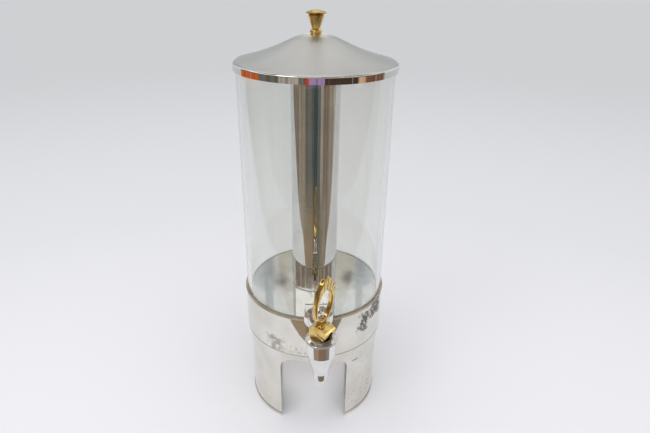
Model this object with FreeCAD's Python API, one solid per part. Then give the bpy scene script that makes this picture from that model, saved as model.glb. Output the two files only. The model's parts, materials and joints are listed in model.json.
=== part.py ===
import FreeCAD, Part
import math
import os

# Catering drinks dispenser: a clear cylinder with an ice tube, a bell lid, a steel
# base and a flip-handle tap. Millimetres, Z up, Z = 0 on the table, the tap points to -Y.

Vector = FreeCAD.Vector
ORIGIN = Vector(0, 0, 0)
X_AXIS = Vector(1, 0, 0)
Y_AXIS = Vector(0, 1, 0)
Z_AXIS = Vector(0, 0, 1)

# Pedestal: a rolled sheet skirt with a cut-out for the glass
SHEET = 1.0
PEDESTAL_HEIGHT = 127.0
SKIRT_INSET = 5.0
FLARE_HEIGHT = 67.0
SEAM_STEP = 0.5
SPIGOT_HEIGHT = 12.0
SPIGOT_CLEARANCE = 0.15
HEM_HEIGHT = 4.5
HEM_BULGE = 0.8
CUTOUT_HALF_WIDTH = 47.0
CUTOUT_MARGIN = 11.0
CUTOUT_CORNER = 20.0
PEDESTAL_TURN = -3.15

# Collar band and the floor and channel that close the tank
COLLAR_HEIGHT = 60.5
PAN_SHEET = 0.8
PAN_FLOOR_RISE = 2.0
PAN_GAP = 0.5
SUMP_DEPTH = 8.0
SUMP_SIDE_MARGIN = 4.5
SUMP_END_MARGIN = 3.0
CHANNEL_DEPTH = 22.5
PAN_FLANGE = 8.0
WELD_CLEARANCE = 0.05

# Clear cylinder and its seal
CYLINDER_RADIUS = 97.5
CYLINDER_WALL = 5.2
CYLINDER_LENGTH = 332.5
SEAL_THICKNESS = 2.5
SEAL_LEG = 1.3
SEAL_LIP = 0.7
SEAL_LIP_OVERHANG = 0.4
SEAL_CLEARANCE = 0.1

# Ice tube, held by a stud through the tank floor
TUBE_RADIUS = 31.8
TUBE_WALL = 0.9
TUBE_HEADROOM = 10.0
TUBE_FLOOR = 1.5
TUBE_SEAT = 1.0
TUBE_SEAT_MARGIN = 0.4
STUD_RADIUS = 4.0
STUD_LENGTH = 30.0
STUD_CLEARANCE = 0.3
WASHER_RADIUS = 14.0
WASHER_THICKNESS = 1.5
WING_HUB_RADIUS = 8.0
WING_HUB_HEIGHT = 9.0
WING_SPAN = 21.0
WING_HEIGHT = 15.0
WING_THICKNESS = 3.2

# Lid: a spun bell with a mirror rim
LID_SHEET = 0.9
LID_RIM_DROP = 5.0
LID_RIM_HEIGHT = 6.6
LID_CROWN_RADIUS = 73.4
LID_CROWN_SLOPE = 26.0
LID_EDGE_SLOPE = 13.2
LID_SHOULDER_RADIUS = 2.4
LID_HEM_HEIGHT = 2.2
LID_HEM_BULGE = 0.7
LID_CLEARANCE = 0.3
GASKET_LEG = 1.9
GASKET_CLEARANCE = 0.1

# Lid knob, turned in one piece
KNOB_BASE_RADIUS = 6.2
KNOB_BEAD_RADIUS = 7.6
KNOB_BEAD_TOP = 4.2
KNOB_WAIST_RADIUS = 4.9
KNOB_WAIST = 5.7
KNOB_CONE_RADIUS = 9.6
KNOB_CONE_TOP = 19.0
KNOB_RING = 1.2
KNOB_GROOVE = 0.8
KNOB_LIP_RADIUS = 12.6
KNOB_LIP = 22.4
KNOB_LIP_EDGE = 1.0
KNOB_HEIGHT = 26.4
KNOB_SCREW_RADIUS = 2.4
KNOB_SCREW_DEPTH = 12.0
KNOB_SCREW_HEAD_RADIUS = 5.0
KNOB_SCREW_HEAD = 2.6
KNOB_WASHER_RADIUS = 8.0
KNOB_WASHER_THICKNESS = 1.2
SCREW_CLEARANCE = 0.1

# Tap casting: shank, ball, barrel, cone and nozzle
TAP_SUMP_GAP = 2.3
TAP_ARM = 56.6
SHANK_RADIUS = 7.2
SHANK_BORE = 5.0
SHANK_HOLE_CLEARANCE = 0.4
FLANGE_RADIUS = 19.0
FLANGE_EDGE = 1.2
BALL_RADIUS = 14.3
BALL_OFFSET = 4.6
NECK_RADIUS = 9.0
BARREL_RADIUS = 17.5
BARREL_RISE = 10.0
BARREL_DROP = 7.0
CONE_DROP = 38.0
NOZZLE_RADIUS = 9.4
NOZZLE_DROP = 45.0
NOZZLE_SWELL = 0.5
TIP_RADIUS = 7.5
TIP_DROP = 53.0
OUTLET_RADIUS = 6.0
CAVITY_RADIUS = 12.0
SEAT_DROP = 10.0
THROAT_DROP = 18.0

# Pieces that clamp the shank to the cylinder wall
SADDLE_FRONT = 3.4
SADDLE_HALF_WIDTH = 16.5
SADDLE_TOP = 17.5
SADDLE_CLEARANCE = 0.1
INNER_GASKET_RADIUS = 12.2
INNER_GASKET = 2.6
NUT_WASHER_RADIUS = 12.0
NUT_WASHER = 1.5
NUT_ACROSS_FLATS = 22.0
NUT_THICKNESS = 7.0
NUT_CLEARANCE = 0.05
SHANK_OVERHANG = 4.0

# Bonnet, stem and seat
BONNET_GASKET = 1.0
BONNET_RADIUS = 19.3
BONNET_RIM = 17.8
BONNET_BEAD = 3.0
BONNET_HEIGHT = 4.8
BONNET_TOP_RADIUS = 15.0
BONNET_SPIGOT = 5.0
BONNET_SPIGOT_CLEARANCE = 0.1
STEM_RADIUS = 4.0
STEM_CLEARANCE = 0.08
STEM_FOOT_DROP = 14.0
CUP_HEIGHT = 7.0
CUP_RADIUS = 9.0
CUP_CLEARANCE = 0.4
SPRING_RADIUS = 6.4
SPRING_WIRE = 0.7
SPRING_TURNS = 4
SPRING_CLEARANCE = 0.3

# Handle: a cam block with a finger ring, pinned to the stem
CAM_WASHER_RADIUS = 13.0
CAM_WASHER = 1.0
CAM_WASHER_CLEARANCE = 0.3
CAM_CLEARANCE = 0.3
CAM_WASHER_FLOAT = 0.1
HANDLE_TURN = 48.0
BLOCK_HALF_WIDTH = 9.2
BLOCK_FRONT = 14.0
BLOCK_BACK = 11.5
BLOCK_SIDE = 12.0
BLOCK_RISE = 4.8
PIN_RISE = 6.5
PIN_RADIUS = 1.6
PIN_FIT = 0.05
PIN_HEAD_RADIUS = 2.4
PIN_HEAD = 0.8
TANG_HALF = 2.2
TANG_RADIUS = 3.4
SLOT_CLEARANCE = 0.4
TENON_LENGTH = 10.0
TENON_WIDTH = 6.6
TENON_HEIGHT = 2.6
RING_WIDTH = 34.0
RING_HEIGHT = 66.0
RING_THICKNESS = 6.4
RING_EDGE = 1.7
RING_LEAN = 5.0
HOLE_WIDTH = 25.0
HOLE_HEIGHT = 43.5
HOLE_RISE = 6.2
FLUTE_COUNT = 9
FLUTE_RADIUS = 0.9
FLUTE_DEPTH = 0.45
FLUTE_STEP = 12.0

# Stations that follow from the dimensions above
CYLINDER_BORE = CYLINDER_RADIUS - CYLINDER_WALL
COLLAR_BORE = CYLINDER_RADIUS + SEAL_LEG + 2 * SEAL_CLEARANCE
COLLAR_RADIUS = COLLAR_BORE + SHEET
SKIRT_RADIUS = COLLAR_RADIUS - SKIRT_INSET
PAN_EDGE = CYLINDER_BORE - PAN_GAP
PAN_RADIUS = PAN_EDGE - PAN_SHEET
FLARE_START = PEDESTAL_HEIGHT - FLARE_HEIGHT
CUTOUT_HEIGHT = PEDESTAL_HEIGHT - CUTOUT_MARGIN
RIM_Z = PEDESTAL_HEIGHT + COLLAR_HEIGHT
PAN_FLOOR_Z = RIM_Z + PAN_FLOOR_RISE
SUMP_Z = PAN_FLOOR_Z - SUMP_DEPTH
SUMP_HALF_WIDTH = INNER_GASKET_RADIUS + SUMP_SIDE_MARGIN
CHANNEL_Z = RIM_Z - CHANNEL_DEPTH
SEAL_TOP = RIM_Z + SEAL_CLEARANCE + SEAL_LIP
CYLINDER_BOTTOM = CHANNEL_Z + SEAL_THICKNESS
CYLINDER_TOP = CYLINDER_BOTTOM + CYLINDER_LENGTH
TUBE_BOTTOM = PAN_FLOOR_Z + TUBE_SEAT
TUBE_TOP = CYLINDER_TOP - TUBE_HEADROOM
GASKET_LEG_RADIUS = CYLINDER_RADIUS + LID_CLEARANCE + GASKET_LEG
LID_RADIUS = GASKET_LEG_RADIUS + GASKET_CLEARANCE + LID_HEM_BULGE + LID_SHEET
LID_BOTTOM = CYLINDER_TOP - LID_RIM_DROP
FLANGE_Y = COLLAR_RADIUS + SADDLE_FRONT
TAP_REACH = FLANGE_Y + TAP_ARM
TAP_HEIGHT = SUMP_Z + TAP_SUMP_GAP + INNER_GASKET_RADIUS
BODY_TOP = TAP_HEIGHT + BARREL_RISE
BONNET_Z = BODY_TOP + BONNET_GASKET
BONNET_TOP = BONNET_Z + BONNET_HEIGHT
CAM_SEAT = BONNET_TOP + CAM_WASHER_FLOAT
CAM_FACE = CAM_SEAT + CAM_WASHER
PIN_Z = CAM_FACE + PIN_RISE
TAP_AXIS = Vector(0, -TAP_REACH, 0)
CUP_BOTTOM = TAP_HEIGHT - THROAT_DROP
STEM_FOOT = TAP_HEIGHT - STEM_FOOT_DROP
SLOT_HALF = STEM_RADIUS + SLOT_CLEARANCE
# The lid's three arcs meet at its crown slope and its edge slope, built up from the straight rim.
CROWN_SINE = math.sin(math.radians(LID_CROWN_SLOPE))
CROWN_COSINE = math.cos(math.radians(LID_CROWN_SLOPE))
EDGE_SINE = math.sin(math.radians(LID_EDGE_SLOPE))
EDGE_COSINE = math.cos(math.radians(LID_EDGE_SLOPE))
LID_FLANK_START = LID_CROWN_RADIUS * CROWN_SINE
LID_FLANK_END = LID_RADIUS - LID_SHOULDER_RADIUS * (1 - EDGE_SINE)
LID_FLANK_RADIUS = (LID_FLANK_END - LID_FLANK_START) / (CROWN_SINE - EDGE_SINE)
LID_SHOULDER_CENTRE = (LID_RADIUS - LID_SHOULDER_RADIUS, LID_BOTTOM + LID_RIM_HEIGHT)
LID_FLANK_CENTRE = (LID_SHOULDER_CENTRE[0] + (LID_FLANK_RADIUS + LID_SHOULDER_RADIUS) * EDGE_SINE,
                    LID_SHOULDER_CENTRE[1] + (LID_FLANK_RADIUS + LID_SHOULDER_RADIUS) * EDGE_COSINE)
LID_CROWN_CENTRE = (0, LID_FLANK_CENTRE[1] - (LID_CROWN_RADIUS + LID_FLANK_RADIUS) * CROWN_COSINE)
LID_APEX = LID_CROWN_CENTRE[1] + LID_CROWN_RADIUS
# The cam face is the involute whose reach grows evenly from the seat to the front of the block,
# so the stem rises by the same amount for every degree of tilt.
CAM_REACH = PIN_RISE - CAM_CLEARANCE
CAM_RATE = (BLOCK_FRONT - CAM_REACH) / (math.pi / 2)


def outline(start, *steps):
    """Closed face in the XZ plane. A step is a point, or a pair (through, end) for an arc."""
    first = Vector(start[0], 0, start[1])
    here = first
    edges = []
    for step in steps:
        if isinstance(step[0], tuple):
            through = Vector(step[0][0], 0, step[0][1])
            there = Vector(step[1][0], 0, step[1][1])
            edges.append(Part.Arc(here, through, there).toShape())
        else:
            there = Vector(step[0], 0, step[1])
            edges.append(Part.LineSegment(here, there).toShape())
        here = there
    edges.append(Part.LineSegment(here, first).toShape())
    return Part.Face(Part.Wire(edges))


def turned(start, *steps):
    """Solid of revolution about Z of an outline in radius and height."""
    return outline(start, *steps).revolve(ORIGIN, Z_AXIS, 360)


def dome(radius, rim, top):
    """Arc of a spherical cap from its rim to its pole on the axis."""
    rise = top - rim
    sphere = (radius ** 2 + rise ** 2) / (2 * rise)
    half = math.asin(radius / abs(sphere)) / 2
    through = (abs(sphere) * math.sin(half), top - sphere * (1 - math.cos(half)))
    return through, (0, top)


def ring(outer, inner, bottom, top):
    return turned((inner, bottom), (outer, bottom), (outer, top), (inner, top))


def rod(radius, bottom, top):
    return Part.makeCylinder(radius, top - bottom, Vector(0, 0, bottom))


def along_tap(shape):
    """Turn a shape made about Z so that it lies on the shank, its height now the distance to -Y."""
    shape.rotate(ORIGIN, X_AXIS, 90)
    shape.translate(Vector(0, 0, TAP_HEIGHT))
    return shape


def on_tap(shape):
    """Move a shape made about Z to the vertical axis of the tap."""
    shape.translate(TAP_AXIS)
    return shape


def on_handle(shape):
    """Move a shape made about the pin, tilting to -Y, to its place and turn on the tap."""
    shape.translate(Vector(0, 0, PIN_Z))
    shape.rotate(ORIGIN, Z_AXIS, HANDLE_TURN)
    return on_tap(shape)


def flare(z):
    """Outside radius of the skirt, which opens in one long arc from FLARE_START to the seam."""
    rise = PEDESTAL_HEIGHT - FLARE_START
    spread = COLLAR_RADIUS - SEAM_STEP - SKIRT_RADIUS
    arc = (rise ** 2 + spread ** 2) / (2 * spread)
    return SKIRT_RADIUS + arc - math.sqrt(arc ** 2 - (z - FLARE_START) ** 2)


def cutout():
    """Arched opening in the front of the skirt, with room below the table line."""
    inset = CUTOUT_CORNER * (1 - math.sqrt(0.5))
    side = CUTOUT_HEIGHT - CUTOUT_CORNER
    flat = CUTOUT_HALF_WIDTH - CUTOUT_CORNER
    near = CUTOUT_HALF_WIDTH - inset
    shoulder = CUTOUT_HEIGHT - inset
    face = outline((-CUTOUT_HALF_WIDTH, -SHEET), (-CUTOUT_HALF_WIDTH, side),
                   ((-near, shoulder), (-flat, CUTOUT_HEIGHT)), (flat, CUTOUT_HEIGHT),
                   ((near, shoulder), (CUTOUT_HALF_WIDTH, side)), (CUTOUT_HALF_WIDTH, -SHEET))
    return face.extrude(Y_AXIS * (-2 * COLLAR_RADIUS))


def pedestal_skirt():
    foot = SKIRT_RADIUS + HEM_BULGE
    spigot = COLLAR_BORE - SPIGOT_CLEARANCE
    spigot_top = PEDESTAL_HEIGHT + SPIGOT_HEIGHT
    under_seam = PEDESTAL_HEIGHT - SHEET
    middle = (FLARE_START + PEDESTAL_HEIGHT) / 2
    wall = turned((foot, 0), (foot, HEM_HEIGHT), (SKIRT_RADIUS, HEM_HEIGHT + HEM_BULGE),
                  (SKIRT_RADIUS, FLARE_START),
                  ((flare(middle), middle), (flare(PEDESTAL_HEIGHT), PEDESTAL_HEIGHT)),
                  (spigot, PEDESTAL_HEIGHT), (spigot, spigot_top), (spigot - SHEET, spigot_top),
                  (spigot - SHEET, under_seam), (flare(under_seam) - SHEET, under_seam),
                  ((flare(middle) - SHEET, middle), (SKIRT_RADIUS - SHEET, FLARE_START)),
                  (SKIRT_RADIUS - SHEET, 0))
    skirt = wall.cut(cutout())
    skirt.rotate(ORIGIN, Z_AXIS, PEDESTAL_TURN)
    return skirt


def collar_band():
    return ring(COLLAR_RADIUS, COLLAR_BORE, PEDESTAL_HEIGHT, RIM_Z)


def sump_box(half_width, back, bottom, top):
    """Block at the tap side, from a distance off the axis to beyond the collar."""
    corner = Vector(-half_width, -COLLAR_RADIUS - back, bottom)
    return Part.makeBox(2 * half_width, COLLAR_RADIUS, top - bottom, corner)


def tank_floor():
    """Disc that closes the tank, with a sump for the end of the tap and a hole for the ice tube's stud."""
    end = shank_end() - SUMP_END_MARGIN
    disc = ring(PAN_EDGE, STUD_RADIUS + STUD_CLEARANCE, PAN_FLOOR_Z - PAN_SHEET, PAN_FLOOR_Z)
    tray = sump_box(SUMP_HALF_WIDTH + PAN_SHEET, end - PAN_SHEET, SUMP_Z - PAN_SHEET, PAN_FLOOR_Z)
    tray = tray.common(rod(PAN_RADIUS - WELD_CLEARANCE, SUMP_Z - PAN_SHEET, PAN_FLOOR_Z))
    sump = sump_box(SUMP_HALF_WIDTH, end, SUMP_Z, RIM_Z + COLLAR_HEIGHT)
    return disc.fuse(tray).cut(sump).removeSplitter()


def tank_channel():
    """Folded ring that takes the cylinder: its wall carries the floor, its flange is on the collar."""
    edge = COLLAR_BORE - WELD_CLEARANCE
    top = PAN_FLOOR_Z - PAN_SHEET
    under = CHANNEL_Z - PAN_SHEET
    flange = CHANNEL_Z - PAN_FLANGE
    channel = turned((PAN_RADIUS, under), (edge - PAN_SHEET, under), (edge - PAN_SHEET, flange),
                     (edge, flange), (edge, CHANNEL_Z), (PAN_EDGE, CHANNEL_Z), (PAN_EDGE, top),
                     (PAN_RADIUS, top))
    return channel.cut(sump_box(SUMP_HALF_WIDTH, PAN_RADIUS / 2, SUMP_Z, RIM_Z + COLLAR_HEIGHT))


def cylinder_seal():
    """Rubber ring: the cylinder stands on its foot, inside its leg; its lip covers the collar's edge."""
    inner = PAN_EDGE + SEAL_CLEARANCE
    outer = COLLAR_BORE - SEAL_CLEARANCE
    leg = CYLINDER_RADIUS + SEAL_CLEARANCE
    lip = COLLAR_RADIUS + SEAL_LIP_OVERHANG
    under_lip = RIM_Z + SEAL_CLEARANCE
    return turned((inner, CHANNEL_Z), (outer, CHANNEL_Z), (outer, under_lip), (lip, under_lip),
                  (lip, SEAL_TOP), (leg, SEAL_TOP), (leg, CYLINDER_BOTTOM), (inner, CYLINDER_BOTTOM))


def clear_cylinder():
    wall = ring(CYLINDER_RADIUS, CYLINDER_BORE, CYLINDER_BOTTOM, CYLINDER_TOP)
    return wall.cut(along_tap(rod(SHANK_RADIUS + SHANK_HOLE_CLEARANCE, CYLINDER_BORE / 2, COLLAR_RADIUS)))


def ice_tube():
    inner = TUBE_RADIUS - TUBE_WALL
    floor = TUBE_BOTTOM + TUBE_FLOOR
    return turned((0, TUBE_BOTTOM), (TUBE_RADIUS, TUBE_BOTTOM), (TUBE_RADIUS, TUBE_TOP),
                  (inner, TUBE_TOP), (inner, floor), (0, floor))


def tube_seat():
    return ring(TUBE_RADIUS - TUBE_SEAT_MARGIN, STUD_RADIUS + STUD_CLEARANCE, PAN_FLOOR_Z, TUBE_BOTTOM)


def tube_stud():
    return rod(STUD_RADIUS, TUBE_BOTTOM - STUD_LENGTH, TUBE_BOTTOM)


def stud_washer():
    top = PAN_FLOOR_Z - PAN_SHEET
    return ring(WASHER_RADIUS, STUD_RADIUS + STUD_CLEARANCE, top - WASHER_THICKNESS, top)


def wing_nut():
    """Tapered hub with two upswept wings, hanging under the washer."""
    top = PAN_FLOOR_Z - PAN_SHEET - WASHER_THICKNESS
    neck = (WING_HUB_RADIUS + STUD_RADIUS) / 2
    hub = turned((0, top), (WING_HUB_RADIUS, top), (neck, top - WING_HUB_HEIGHT), (0, top - WING_HUB_HEIGHT))
    tip = (WING_SPAN + neck) / 2
    wing = outline((0, top - WING_THICKNESS / 2), (WING_HUB_RADIUS, top - WING_THICKNESS / 2),
                   (WING_SPAN, top - WING_HUB_HEIGHT),
                   ((tip, top - WING_HEIGHT), (neck, top - WING_HUB_HEIGHT)), (0, top - WING_HUB_HEIGHT))
    blade = wing.extrude(Y_AXIS * WING_THICKNESS)
    blade.translate(Y_AXIS * (-WING_THICKNESS / 2))
    other = blade.copy()
    other.rotate(ORIGIN, Z_AXIS, 180)
    bore = rod(STUD_RADIUS + NUT_CLEARANCE, top - WING_HEIGHT, top + WING_HEIGHT)
    return hub.fuse([blade, other]).cut(bore).removeSplitter()


def lid_arc(radius, start_angle, end_angle, centre, sign):
    """Middle and end of an arc of the lid, by the slopes at its ends in degrees."""
    points = []
    for angle in ((start_angle + end_angle) / 2, end_angle):
        slope = math.radians(angle)
        reach = sign * radius
        points.append((centre[0] + reach * math.sin(slope), centre[1] + reach * math.cos(slope)))
    return tuple(points)


def lid_curve(inset):
    """Crown, flank and shoulder arcs of the bell, moved in by inset from the outside face."""
    crown = lid_arc(LID_CROWN_RADIUS - inset, 0, LID_CROWN_SLOPE, LID_CROWN_CENTRE, 1)
    flank = lid_arc(LID_FLANK_RADIUS + inset, LID_CROWN_SLOPE, LID_EDGE_SLOPE, LID_FLANK_CENTRE, -1)
    shoulder = lid_arc(LID_SHOULDER_RADIUS - inset, LID_EDGE_SLOPE, 90, LID_SHOULDER_CENTRE, 1)
    return crown, flank, shoulder


def reverse_arcs(arcs, start):
    """The same arcs walked from their far end back to start."""
    ends = [start] + [arc[1] for arc in arcs[:-1]]
    return [(arc[0], end) for arc, end in zip(reversed(arcs), reversed(ends))]


def lid_cover():
    inner = LID_RADIUS - LID_SHEET
    hem = inner - LID_HEM_BULGE
    hem_top = LID_BOTTOM + LID_HEM_HEIGHT
    inside = lid_curve(LID_SHEET)
    bell = turned((0, LID_APEX), *lid_curve(0), (LID_RADIUS, LID_BOTTOM), (hem, LID_BOTTOM), (hem, hem_top),
                  (inner, hem_top), inside[-1][1], *reverse_arcs(inside, (0, LID_APEX - LID_SHEET)))
    return bell.cut(rod(KNOB_SCREW_RADIUS + SCREW_CLEARANCE, CYLINDER_TOP, LID_APEX + LID_SHEET))


def lid_gasket():
    """Ring under the rim: it rests on the cylinder's edge and centres the lid round it."""
    inside = lid_curve(LID_SHEET + GASKET_CLEARANCE)
    flank_end = inside[1][1]
    shoulder = inside[2]
    seat = CYLINDER_TOP + LID_CLEARANCE
    leg = CYLINDER_RADIUS + LID_CLEARANCE
    foot = LID_BOTTOM + LID_CLEARANCE
    return turned((CYLINDER_BORE, seat), (leg, seat), (leg, foot), (GASKET_LEG_RADIUS, foot),
                  (GASKET_LEG_RADIUS, seat), shoulder[0], flank_end, (CYLINDER_BORE, flank_end[1]))


def crown_height(radius):
    """Height of the outside of the lid's crown at a radius."""
    return LID_APEX - LID_CROWN_RADIUS + math.sqrt(LID_CROWN_RADIUS ** 2 - radius ** 2)


def lid_knob():
    """Turned knob, its underside hollowed to sit on the crown of the lid."""
    base = LID_APEX
    half_base = KNOB_BASE_RADIUS / 2
    foot = ((half_base, crown_height(half_base)), (KNOB_BASE_RADIUS, crown_height(KNOB_BASE_RADIUS)))
    waist = (KNOB_BEAD_RADIUS + KNOB_WAIST_RADIUS) / 2
    collar = base + KNOB_CONE_TOP + KNOB_RING
    lip_top = base + KNOB_LIP + KNOB_LIP_EDGE
    bead = (KNOB_BEAD_RADIUS, base + KNOB_BEAD_TOP / 2)
    knob = turned((0, base), foot, (bead, (waist, base + KNOB_BEAD_TOP)),
                  (KNOB_WAIST_RADIUS, base + KNOB_WAIST), (KNOB_CONE_RADIUS, base + KNOB_CONE_TOP),
                  (KNOB_CONE_RADIUS, collar), (KNOB_CONE_RADIUS - KNOB_GROOVE, collar + KNOB_GROOVE / 2),
                  (KNOB_LIP_RADIUS, base + KNOB_LIP), (KNOB_LIP_RADIUS, lip_top),
                  dome(KNOB_LIP_RADIUS, lip_top, base + KNOB_HEIGHT))
    return knob.cut(rod(KNOB_SCREW_RADIUS, base - LID_SHEET, base + KNOB_SCREW_DEPTH))


def knob_washer_top():
    """Height at which a flat washer meets the hollow of the crown."""
    inner = LID_CROWN_RADIUS - LID_SHEET
    return LID_APEX - LID_CROWN_RADIUS + math.sqrt(inner ** 2 - KNOB_WASHER_RADIUS ** 2)


def knob_washer():
    top = knob_washer_top()
    hole = KNOB_SCREW_RADIUS + SCREW_CLEARANCE
    return ring(KNOB_WASHER_RADIUS, hole, top - KNOB_WASHER_THICKNESS, top)


def knob_screw():
    head_top = knob_washer_top() - KNOB_WASHER_THICKNESS
    tip = LID_APEX + KNOB_SCREW_DEPTH - SCREW_CLEARANCE
    return turned((0, tip), (KNOB_SCREW_RADIUS, tip), (KNOB_SCREW_RADIUS, head_top),
                  (KNOB_SCREW_HEAD_RADIUS, head_top),
                  dome(KNOB_SCREW_HEAD_RADIUS, head_top, head_top - KNOB_SCREW_HEAD))


def tap_body():
    """Chromed casting: a ball and shank to the tank, a barrel and tapering nozzle to the glass."""
    z = TAP_HEIGHT
    swell = (NOZZLE_RADIUS + TIP_RADIUS) / 2 + NOZZLE_SWELL
    tip = z - TIP_DROP
    outside = turned((0, BODY_TOP), (BARREL_RADIUS, BODY_TOP), (BARREL_RADIUS, z - BARREL_DROP),
                     (NOZZLE_RADIUS, z - CONE_DROP), (NOZZLE_RADIUS, z - NOZZLE_DROP),
                     ((swell, z - (NOZZLE_DROP + TIP_DROP) / 2), (TIP_RADIUS, tip)), (0, tip))
    ball = FLANGE_Y + BALL_OFFSET
    step = ball + math.sqrt(BALL_RADIUS ** 2 - NECK_RADIUS ** 2)
    shoulder = BALL_RADIUS * math.sin(math.radians(70))
    inner_end = shank_end()
    arm = turned((0, inner_end), (SHANK_RADIUS, inner_end), (SHANK_RADIUS, FLANGE_Y),
                 (FLANGE_RADIUS, FLANGE_Y), (FLANGE_RADIUS, FLANGE_Y + FLANGE_EDGE), (BALL_RADIUS, ball),
                 ((shoulder, ball + BALL_RADIUS * math.cos(math.radians(70))), (NECK_RADIUS, step)),
                 (NECK_RADIUS, TAP_REACH), (0, TAP_REACH))
    cavity = turned((0, BODY_TOP), (CAVITY_RADIUS, BODY_TOP), (CAVITY_RADIUS, z - SEAT_DROP),
                    (OUTLET_RADIUS, z - THROAT_DROP), (OUTLET_RADIUS, tip), (0, tip))
    shank_bore = along_tap(rod(SHANK_BORE, inner_end, TAP_REACH))
    return on_tap(outside).fuse(along_tap(arm)).cut(on_tap(cavity)).cut(shank_bore).removeSplitter()


def tap_saddle():
    """White block between flange and wall: hollowed for the cylinder, and for the collar with its seal."""
    low = TAP_HEIGHT
    face = outline((-SADDLE_HALF_WIDTH, low), ((0, low - SADDLE_HALF_WIDTH), (SADDLE_HALF_WIDTH, low)),
                   (SADDLE_HALF_WIDTH, low + SADDLE_TOP), (-SADDLE_HALF_WIDTH, low + SADDLE_TOP))
    block = face.extrude(Y_AXIS * CYLINDER_BORE / 2)
    block.translate(Y_AXIS * (-FLANGE_Y))
    bottom = low - SADDLE_HALF_WIDTH - SHEET
    cylinder = rod(CYLINDER_RADIUS + SADDLE_CLEARANCE, bottom, low + SADDLE_TOP + SHEET)
    collar = rod(COLLAR_RADIUS + SEAL_LIP_OVERHANG + SADDLE_CLEARANCE, bottom, SEAL_TOP + SADDLE_CLEARANCE)
    hole = along_tap(rod(SHANK_RADIUS + SADDLE_CLEARANCE, CYLINDER_BORE / 2, FLANGE_Y + SHEET))
    return block.cut(cylinder).cut(collar).cut(hole)


def inner_gasket():
    back = CYLINDER_BORE - INNER_GASKET
    disc = along_tap(ring(INNER_GASKET_RADIUS, SHANK_RADIUS + SADDLE_CLEARANCE, back, CYLINDER_RADIUS))
    return disc.common(rod(CYLINDER_BORE - SADDLE_CLEARANCE, RIM_Z - COLLAR_HEIGHT, CYLINDER_TOP))


def nut_front():
    """Distance from the axis of the dispenser at which the lock nut starts."""
    return CYLINDER_BORE - INNER_GASKET - NUT_WASHER


def shank_end():
    return nut_front() - NUT_THICKNESS - SHANK_OVERHANG


def nut_washer():
    front = nut_front()
    return along_tap(ring(NUT_WASHER_RADIUS, SHANK_RADIUS + SADDLE_CLEARANCE, front, front + NUT_WASHER))


def lock_nut():
    """Hexagon with a flat side down, so that it clears the bottom of the sump."""
    corner = NUT_ACROSS_FLATS / math.sqrt(3)
    back = nut_front() - NUT_THICKNESS
    points = []
    for side in range(7):
        angle = math.radians(60 * side)
        points.append(Vector(corner * math.cos(angle), corner * math.sin(angle), back))
    prism = Part.Face(Part.makePolygon(points)).extrude(Z_AXIS * NUT_THICKNESS)
    bore = rod(SHANK_RADIUS + NUT_CLEARANCE, back - NUT_THICKNESS, back + 2 * NUT_THICKNESS)
    return along_tap(prism.cut(bore))


def bonnet_gasket():
    return on_tap(ring(BARREL_RADIUS - SHEET, CAVITY_RADIUS, BODY_TOP, BONNET_Z))


def tap_bonnet():
    """Screwed cap with a beaded rim; its spigot guides the stem."""
    spigot = CAVITY_RADIUS - BONNET_SPIGOT_CLEARANCE
    bore = STEM_RADIUS + STEM_CLEARANCE
    bead_top = BONNET_Z + BONNET_BEAD
    cap = turned((bore, BONNET_Z - BONNET_SPIGOT), (spigot, BONNET_Z - BONNET_SPIGOT), (spigot, BONNET_Z),
                 (BONNET_RIM, BONNET_Z),
                 ((BONNET_RADIUS, BONNET_Z + BONNET_BEAD / 2), (BONNET_RIM, bead_top)),
                 (BONNET_TOP_RADIUS, BONNET_TOP), (bore, BONNET_TOP))
    return on_tap(cap)


def valve_stem():
    """Rod through the bonnet, with a flat tang at the top for the handle's pin."""
    shank = rod(STEM_RADIUS, STEM_FOOT - PIN_Z, 0)
    eye = Part.makeCylinder(TANG_RADIUS, 2 * TANG_HALF, Vector(-TANG_HALF, 0, 0), X_AXIS)
    corner = Vector(0, -2 * STEM_RADIUS, -TANG_RADIUS)
    cheek = Part.makeBox(STEM_RADIUS, 4 * STEM_RADIUS, 2 * TANG_RADIUS, corner)
    right = cheek.copy()
    right.translate(X_AXIS * TANG_HALF)
    left = cheek.copy()
    left.translate(X_AXIS * (-TANG_HALF - STEM_RADIUS))
    hole = Part.makeCylinder(PIN_RADIUS + PIN_FIT, 4 * TANG_HALF, Vector(-2 * TANG_HALF, 0, 0), X_AXIS)
    return on_handle(shank.fuse(eye).cut(right).cut(left).cut(hole).removeSplitter())


def seat_cup():
    """Soft cup on the foot of the stem, which closes the throat of the casting."""
    top = CUP_BOTTOM + CUP_HEIGHT
    seat_slope = (CAVITY_RADIUS - OUTLET_RADIUS) / (THROAT_DROP - SEAT_DROP)
    low = OUTLET_RADIUS - CUP_CLEARANCE
    shoulder = (CUP_RADIUS - low) / seat_slope
    cup = turned((0, CUP_BOTTOM), (low, CUP_BOTTOM), (CUP_RADIUS, CUP_BOTTOM + shoulder),
                 (CUP_RADIUS, top), (0, top))
    return on_tap(cup.cut(rod(STEM_RADIUS, STEM_FOOT, top + CUP_HEIGHT)))


def return_spring():
    """Compression spring between the seat cup and the bonnet."""
    bottom = CUP_BOTTOM + CUP_HEIGHT + SPRING_WIRE + SPRING_CLEARANCE
    top = BONNET_Z - BONNET_SPIGOT - SPRING_WIRE - SPRING_CLEARANCE
    helix = Part.makeHelix((top - bottom) / SPRING_TURNS, top - bottom, SPRING_RADIUS)
    section = Part.Wire(Part.makeCircle(SPRING_WIRE, Vector(SPRING_RADIUS, 0, 0), Y_AXIS))
    coil = Part.Wire(helix).makePipeShell([section], True, True)
    coil.translate(Vector(0, 0, bottom))
    return on_tap(coil)


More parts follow.
